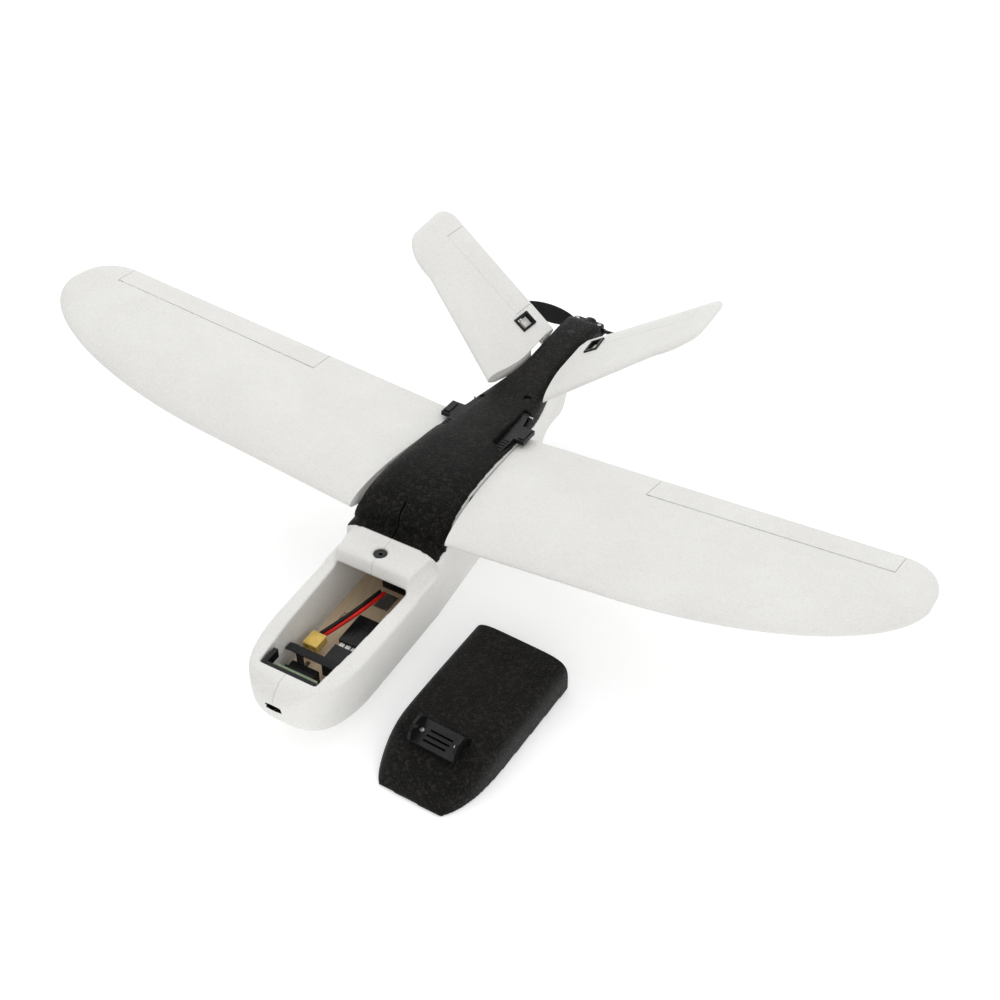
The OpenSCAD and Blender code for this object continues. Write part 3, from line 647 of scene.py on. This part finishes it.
# ---------------------------------------------------------------- wings
WING_TIP = 430 / cos(radians(WING_ANGLE))
ROOT_LEADING_Y = -3
SECTION_POINTS = 34     # on each face of a wing or fin section
WING_GAP_X = 47.55      # plane where the wing root meets the straight fuselage side
# Ends of the aileron hinge line, in the wing frame
AILERON_HINGE = ((172.0, 121.9, 0.35), (394.0, 115.3, -0.95))
AILERON_HORN_U = 182


def chord_points(power):
    """(fraction of chord, face sign): forward along the top, then aft along the bottom."""
    n = SECTION_POINTS
    return ([((1 - k / n) ** power, 1) for k in range(n)]
            + [((k / (n - 1)) ** power, -1) for k in range(n)])


def foil_thickness(x):
    return 5 * 0.115 * (0.2969 * sqrt(x) - 0.126 * x - 0.3516 * x * x
                        + 0.2843 * x**3 - 0.1015 * x**4) + 0.0035 * x


def foil_camber(x):
    return 0.125 * (0.8 * x - x * x) if x < 0.4 else 0.0556 * (0.2 + 0.8 * x - x * x)


def wing_leading(u):
    if u < 200:
        return ROOT_LEADING_Y
    return ROOT_LEADING_Y + 98 * (1 - sqrt(1 - ((u - 200) / (WING_TIP - 200)) ** 2))


def wing_trailing(u):
    if u < 385:
        return 157 - (u - 47) * 0.0425
    return 95 + 47.6 * (1 - ((u - 385) / (WING_TIP - 385)) ** 2.4) ** 0.4167


def wing_ring(u):
    leading = wing_leading(u)
    chord = wing_trailing(u) - leading
    ring = []
    for x, face in chord_points(1.7):
        y = leading + chord * x
        z = (-0.0437 * (y - ROOT_LEADING_Y)
             + chord * (foil_camber(x) + face * foil_thickness(x)))
        ring.append((u, y, z))
    return ring


def wing_stations():
    reach = WING_TIP - 0.8 - 340
    return (even(28, 196, 24) + even(202, 340, 36)
            + [340 + reach * sin(pi / 2 * (i + 1) / 44) for i in range(44)])


def hinge_frame(ends, u, panel):
    """Frame on a hinge line at span u: X along the line, Y aft of it, Z out of the panel."""
    inner, outer = ends
    du, dy, dz = (b - a for a, b in zip(inner, outer))
    y0 = inner[1] + dy * (u - inner[0]) / du
    z0 = inner[2] + dz * (u - inner[0]) / du

    def place(p):
        along, aft = turn(p[0], p[1], atan2(dy, du))
        return panel((u + along, y0 + aft, z0 + p[2]))
    return place


def aileron_zone(gap, bevel, panel):
    """The aileron's space; bevel sets its lower front edge back."""
    outline = [(gap / 2, 12), (60, 12), (60, -20), (bevel + gap / 2, -20), (gap / 2, 0.5)]
    inner, outer = AILERON_HINGE
    return side_view(outline, inner[0] + gap, outer[0] - gap,
                     hinge_frame(AILERON_HINGE, 0, panel))


def make_wing(sign, side):
    panel = wing_frame(sign)
    wing = loft("foam_wing_" + side, [[panel(p) for p in wing_ring(u)]
                                      for u in wing_stations()])
    aileron = duplicate(wing, "foam_aileron_" + side)
    horn = hinge_frame(AILERON_HINGE, AILERON_HORN_U, panel)
    cut(wing, aileron_zone(0, 0.01, panel))
    # stepped servo well, open below
    cut(wing, block(-23.2, -1.8, -51, -29.2, -22.5, 1.9, horn))
    cut(wing, block(-3, 4, -43.8, -29.4, -22.5, 1.1, horn))
    # root trimmed to the fuselage side
    root_end_y = 170
    end_x = WING_GAP_X - SIDE_TAPER * (root_end_y - TAPER_Y)
    cut(wing, plan([(0, -40), (sign * WING_GAP_X, -40), (sign * WING_GAP_X, TAPER_Y),
                    (sign * end_x, root_end_y), (0, root_end_y)], 40, 180))
    cut(aileron, aileron_zone(0.5, 12, panel), operation="INTERSECT")
    cut(aileron, block(-1.15, 1.15, 0, 13.2, -16, -5, horn))    # slot in the lower face
    finish(wing, "white_foam", 34, "wing_" + side, "wing_" + side)
    finish(aileron, "white_foam", 34, "aileron_" + side, "aileron_" + side)


for sign, side in SIDES:
    make_wing(sign, side)

# ---------------------------------------------------------------- V-tail
FIN_TIP = 181.0
# Ends of the ruddervator hinge line, in the fin frame
FIN_HINGE = ((58.0, 283.4, 0.0), (157.0, 293.6, 0.0))
RUDDER_LENGTH = hypot(FIN_HINGE[1][0] - FIN_HINGE[0][0], FIN_HINGE[1][1] - FIN_HINGE[0][1])
FIN_SERVO_U = 48


def fin_leading(u):
    if u < 140:
        return 184 + 0.40 * u
    return 240 + 32 * (1 - sqrt(1 - ((u - 140) / (FIN_TIP - 140)) ** 2))


def fin_trailing(u):
    if u < 165:
        return 302.5 + 0.114 * u
    return 304 + 17.3 * sqrt(1 - ((u - 165) / (FIN_TIP - 165)) ** 2)


def fin_ring(u):
    """Flat plate with a round nose, a tapered rear 15 % and a thinned tip."""
    leading = fin_leading(u)
    chord = fin_trailing(u) - leading
    tip = sqrt(1 - max(0.0, (u - 174) / 7.4) ** 2)
    ring = []
    for x, face in chord_points(1.5):
        nose = min(1, sqrt(9 * x))
        nose *= 1.25 - 0.25 * nose
        tail = 1 if x < 0.85 else 1 - 0.78 * (x - 0.85) / 0.15
        height = 4.3 * (chord / 112) ** 0.6 * nose * tail * tip
        ring.append((u, leading + chord * x, face * height))
    return ring


def hinge_cone(gap, inner_radius, outer_radius, place):
    return loft("cone", [[place((t, y, z)) for y, z in circle(radius, 40)]
                         for t, radius in ((gap, inner_radius),
                                           (RUDDER_LENGTH - gap, outer_radius))])


def make_fin(sign, side):
    panel = panel_frame(sign, 34, 89)
    hinge = hinge_frame(FIN_HINGE, FIN_HINGE[0][0], panel)
    servo = hinge_frame(FIN_HINGE, FIN_SERVO_U, panel)
    stations = even(18, 138, 30)
    stations += [138 + (FIN_TIP - 0.5 - 138) * sin(pi / 2 * (i + 1) / 30) for i in range(30)]
    fin = loft("foam_fin_" + side, [[panel(p) for p in fin_ring(u)] for u in stations])
    rudder = duplicate(fin, "foam_ruddervator_" + side)
    # space for the ruddervator and its round hinge edge
    cut(fin, block(0, RUDDER_LENGTH, 0, 60, -14, 14, hinge))
    cut(fin, hinge_cone(0, 4.6, 3.95, hinge))
    # two openings and a small bore at the inner end of the hinge line
    cut(fin, block(-7.7, 7.2, -10.2, 10.2, -14, 14, servo))
    cut(fin, block(-40, -7, -17.8, 4.3, -14, 3.6, servo))
    cut(fin, side_view(circle(1.45, 32), 5.5, 13, servo))
    # root trimmed to the fuselage side
    wall = [(sign * (half_width(y) + 0.4), y) for y in even(150, 260, 22) + [345]]
    cut(fin, plan([(0, 150)] + wall + [(0, 345)], 20, 200))
    cut(rudder, block(0.35, RUDDER_LENGTH - 0.35, 0, 60, -14, 14, hinge), operation="INTERSECT")
    cut(rudder, hinge_cone(0.35, 4.15, 3.45, hinge), operation="UNION")
    finish(fin, "white_foam", 34, "fin_" + side, "fin_" + side)
    finish(rudder, "white_foam", 34, "ruddervator_" + side, "ruddervator_" + side)


for sign, side in SIDES:
    make_fin(sign, side)

# ---------------------------------------------------------------- hatch
HATCH_X, HATCH_Y = 124, -6.8    # origin of the hatch frame, near its rear edge
HATCH_TURN = radians(-2.5)
# (y, z) of the hatch top, in the hatch frame
hatch_top = curve([(-168, 3), (-165, 8), (-160, 14), (-152, 21), (-140, 27), (-112, 31),
                   (-50, 33), (0, 33)])


def hatch_frame(p):
    x, y = turn(p[0], p[1], HATCH_TURN)
    return (HATCH_X + x, HATCH_Y + y, p[2])


def hatch_ring(y, inset):
    """An arch of 65 points closed by 23 along the flat underside."""
    n = 64
    squareness = 5.4 + (2.6 - 5.4) * ease((-108 - y) / 48)
    width = half_width(y * 1.02 - 5) - 0.6 - inset
    ring = []
    for i in range(n + 1):
        a = pi * i / n
        z = 0 if i in (0, n) else (hatch_top(y) - inset) * signed_root(sin(a), squareness)
        ring.append((width * signed_root(cos(a), squareness), y, z))
    ring += [(-width + 2 * width * i / 24.0, y, 0.0) for i in range(1, 24)]
    return ring


def hatch_rod(radius, z0):
    """Upright cutter near the rear edge, open at the top."""
    return rod_z(radius, z0, 40, 0, -22, 36, hatch_frame)


def make_hatch():
    ys = [-168 + 30 * (i / 24.0) ** 1.5 for i in range(25)] + even(-136, 3, 60)
    hatch = loft("foam_hatch", [[hatch_frame(p) for p in hatch_ring(y, 0)] for y in ys])
    # hollow, lowered a little so that it opens below
    cut(hatch, loft("inner", [[hatch_frame((p[0], p[1], p[2] - 0.5)) for p in hatch_ring(y, 6)]
                              for y in even(-154, -6, 50)]))
    cut(hatch, block(-38, 38, -14, 2, -2, 24, hatch_frame))     # rear opening
    cut(hatch, hatch_rod(1.3, 18), hatch_rod(3.4, 31.4))
    cut(hatch, block(-22.5, 22.5, -137.5, -110.5, 28.6, 42, hatch_frame))   # recess on top
    soften(hatch, voxel=1.0, rounds=4)
    # the rear face and the stepped hole are cut crisp after smoothing
    cut(hatch, block(-70, 70, -0.15, 20, -10, 60, hatch_frame))
    cut(hatch, hatch_rod(5.6, 32.3), hatch_rod(1.3, 18), hatch_rod(3.4, 31.2))
    finish(hatch, "black_foam", 50, "hatch", "hatch")


make_hatch()

# ---------------------------------------------------------------- propeller blades
PIVOT_X, PROP_Y = 12, 343
TIP_RADIUS = 76     # from the shaft
BLADE_START = 5.6   # first blade section, from the pivot


def blade_ring(sign, u):
    """Section at fraction u from root to tip."""
    reach = BLADE_START + (TIP_RADIUS - PIVOT_X - BLADE_START) * u
    chord = 8 + 11 * sin(pi * min(1, u * 1.02)) ** 0.75 * (1 - 0.25 * u) - 4 * u**6
    chord = max(1.2, chord * sqrt(max(0.03, 1 - max(0, (u - 0.9) / 0.1) ** 2.2)))
    pitch = radians(46 - 28 * u**0.6)
    thickness = (3.6 - 2.4 * u) * sqrt(max(0.08, 1 - max(0, (u - 0.94) / 0.06) ** 2))
    ring = []
    for i in range(28):
        a = 2 * pi * i / 28
        v = chord / 2 * cos(a)
        h = (thickness / 2 * sin(a) * (1 - 0.35 * cos(a))
             + 0.045 * chord * (1 - cos(a) ** 2) - 0.03 * chord)
        y, z = h * cos(pitch) + v * sin(pitch), h * sin(pitch) - v * cos(pitch)
        ring.append((sign * (PIVOT_X + reach), PROP_Y + y, SHAFT_Z + sign * z))
    return ring


def make_blade(sign, letter):
    pivot_x = sign * PIVOT_X
    blade = loft("moulded_blade_" + letter, [blade_ring(sign, k / 44) for k in range(45)])
    x0, x1 = sorted((sign * (PIVOT_X + 2), sign * (PIVOT_X + 6.6)))
    shank = block(x0, x1, PROP_Y - 1.9, PROP_Y + 1.9, SHAFT_Z - 2.1, SHAFT_Z + 2.1)
    boss = rod_z(4.3, SHAFT_Z - 2.5, SHAFT_Z + 2.5, pivot_x, PROP_Y)
    cut(blade, shank, boss, operation="UNION")
    cut(blade, rod_z(1.03, SHAFT_Z - 8, SHAFT_Z + 8, pivot_x, PROP_Y))      # pivot hole
    finish(blade, "dark_plastic", 34, "blade_" + letter, "prop_blade_" + letter)


make_blade(1, "a")
make_blade(-1, "b")

# ---------------------------------------------------------------- battery leads and strap
LEAD_RADIUS = 1.7
LEAD_POINTS = 18
STRAP_WIDTH = 8.2
STRAP_Y = -126.4


def make_lead(colour, x, plug_x):
    """Round wire running forward in an arc, its front end let into the connector."""
    points = []
    for k in range(9):
        t = k / 8
        arc = 5 * sin(pi * t)
        points.append((x + 6 - 20 * t + arc, -34 - 62 * t, 53 + arc - 6 * t))
    path = smooth_path(points + [(plug_x, -100.5, 47.4)], steps=10)
    rings = []
    up = Vector((0, 0, 1))
    for centre, ahead in zip(path, directions(path)):
        across = ahead.cross(up).normalized()
        up = across.cross(ahead).normalized()
        rings.append([tuple(centre + across * a + up * b)
                      for a, b in circle(LEAD_RADIUS, LEAD_POINTS)])
    lead = loft("silicone_lead_" + colour, rings)
    finish(lead, colour + "_wire", 60, "airframe", "battery_lead_" + colour)


def make_strap(name, points, thickness, part=None):
    """Flat webbing bent along (x, z) points, in the plane across the bay."""
    path = smooth_path([(x, STRAP_Y, z) for x, z in points], steps=8)
    width_axis = Vector((0, 1, 0))
    rings = []
    for i, (centre, ahead) in enumerate(zip(path, directions(path))):
        normal = ahead.cross(width_axis).normalized()
        ring = []
        for face in (1, -1):
            for k in range(13):
                v = face * (-1 + 2 * k / 12)
                height = face * thickness / 2 * (1 - 0.5 * abs(v) ** 6)
                if face > 0:        # ripple of the weave
                    height += 0.12 * sin(9 * v + i * 0.7)
                ring.append(tuple(centre + width_axis * (v * STRAP_WIDTH / 2)
                                  + normal * height))
        rings.append(ring)
    finish(loft(name, rings), "strap", 45, "airframe", part)


make_lead("red", -1, -13.9)
make_lead("black", -5.2, -20.6)
make_strap("strap_top", [(-29.2, 56.2), (-24, 56.9), (-12, 56.7), (0, 56.9), (12, 56.7),
                         (19, 56.9), (23.4, 56.3)], 1.5, "battery_strap")
make_strap("strap_loop", [(-18, 56.4), (-18, 44), (-18, 31), (-17.2, 28.2), (-14, 27.7),
                          (0, 27.7), (14, 27.7), (17.2, 28.2), (18, 31), (18, 44),
                          (18, 56.4)], 1.4)

# ---------------------------------------------------------------- plug wires
PLUG_PITCH, WIRE_PITCH = 6, 1.2
FIRST_WIRE_X = -0.4


def rounded_box(name, x0, x1, y0, y1, z0, z1, slot, radius):
    """A box with rounded edges, built as a stack of inset outlines."""
    rings = []
    n = 6
    corners = ((x1 - radius, y1 - radius, 0), (x0 + radius, y1 - radius, 90),
               (x0 + radius, y0 + radius, 180), (x1 - radius, y0 + radius, 270))
    for k in range(2 * n):
        top = k >= n
        t = (k % n) / (n - 1)
        a = pi / 2 * (1 - t if top else t)
        inset, rise = radius * (1 - sin(a)), radius * (1 - cos(a))
        z = z1 - rise if top else z0 + rise
        rings.append([(x + (radius - inset) * cos(radians(start + 22.5 * j)),
                       y + (radius - inset) * sin(radians(start + 22.5 * j)), z)
                      for x, y, start in corners for j in range(5)])
    finish(loft(name, rings), slot, 40, "airframe")


for i in range(4):
    for k, slot in enumerate(("black_wire", "red_wire", "white_plastic")):
        x = FIRST_WIRE_X + i * PLUG_PITCH + k * WIRE_PITCH
        rounded_box("plug_wire_%d_%d" % (i, k), x - 0.4, x + 0.4, -98.6, -97.4, 38, 41,
                    slot, radius=0.2)


# ---------------------------------------------------------------- stage, in metres
def make_floor():
    """Paper sweep: flat, then curving up behind the aeroplane."""
    sweep_start, sweep_radius, half_span = 3.0, 1.6, 7.0
    profile = [(-6.0, 0.0)] + [(v, 0.0) for v in np.linspace(-5.7, sweep_start, 60)]
    profile += [(sweep_start + sweep_radius * sin(a), sweep_radius - sweep_radius * cos(a))
                for a in np.linspace(0.05, 1.5, 24)]
    profile += [(4.62, 6.0)]
    verts = [(*turn(across, depth, radians(30.15)), z - 0.0004)
             for depth, z in profile for across in (-half_span, half_span)]
    faces = [(2 * i, 2 * i + 1, 2 * i + 3, 2 * i + 2) for i in range(len(profile) - 1)]
    mesh = bpy.data.meshes.new("floor")
    mesh.from_pydata(verts, [], faces)
    for face in mesh.polygons:
        face.use_smooth = True
    floor = add_object("studio_floor", mesh)
    m = Shader("paper")
    clouds = m.noise(scale=3.0, detail=3.0)
    m.surface({"Base Color": m.mix(clouds, (0.93, 0.935, 0.945), (0.96, 0.963, 0.97)),
               "Roughness": 0.8, "Emission Color": (1, 1, 1), "Emission Strength": 0.24})
    mesh.materials.append(m.material)


def add_area_light(name, location, target, size, power, colour=(1, 1, 1)):
    light = bpy.data.lights.new(name, "AREA")
    light.shape = "RECTANGLE"
    light.size, light.size_y = size
    light.energy = power
    light.color = colour
    obj = add_object(name, light)
    obj.location = location
    aim = Vector(target) - Vector(location)
    obj.rotation_euler = aim.to_track_quat("-Z", "Y").to_euler()


def make_world():
    world = bpy.data.worlds.new("studio")
    world.use_nodes = True
    background = world.node_tree.nodes["Background"]
    background.inputs["Color"].default_value = (0.99, 0.99, 0.985, 1)
    background.inputs["Strength"].default_value = 0.70
    bpy.context.scene.world = world


def make_camera():
    camera = bpy.data.cameras.new("photo_camera")
    camera.sensor_width = 36
    camera.lens = 60.34
    camera.clip_end = 50
    obj = add_object("photo_camera", camera)
    # axes of the view, squared up from the measured right and back directions
    right = Vector((0.8647, 0.5023, 0.0)).normalized()
    back = Vector((0.3674, -0.6324, 0.6820)).normalized()
    up = back.cross(right).normalized()
    right = up.cross(back).normalized()
    matrix = Matrix((right, up, back)).transposed().to_4x4()
    matrix.translation = Vector((0.58746, -0.84057, 1.08456))
    obj.matrix_world = matrix
    bpy.context.scene.camera = obj


make_floor()
add_area_light("top_soft", location=(0.1, 0.4, 2.6), target=(0, 0.05, 0),
               size=(2.4, 2.4), power=13)
add_area_light("rear_soft", location=(-1.4, 1.5, 1.7), target=(0, 0.05, 0.05),
               size=(1.8, 1.3), power=7, colour=(0.99, 0.995, 1))
add_area_light("front_fill", location=(1.9, -1.6, 1.5), target=(0, 0, 0.05),
               size=(1.8, 1.3), power=13, colour=(1, 0.985, 0.955))
make_world()
make_camera()
bpy.context.scene.view_settings.view_transform = "Standard"
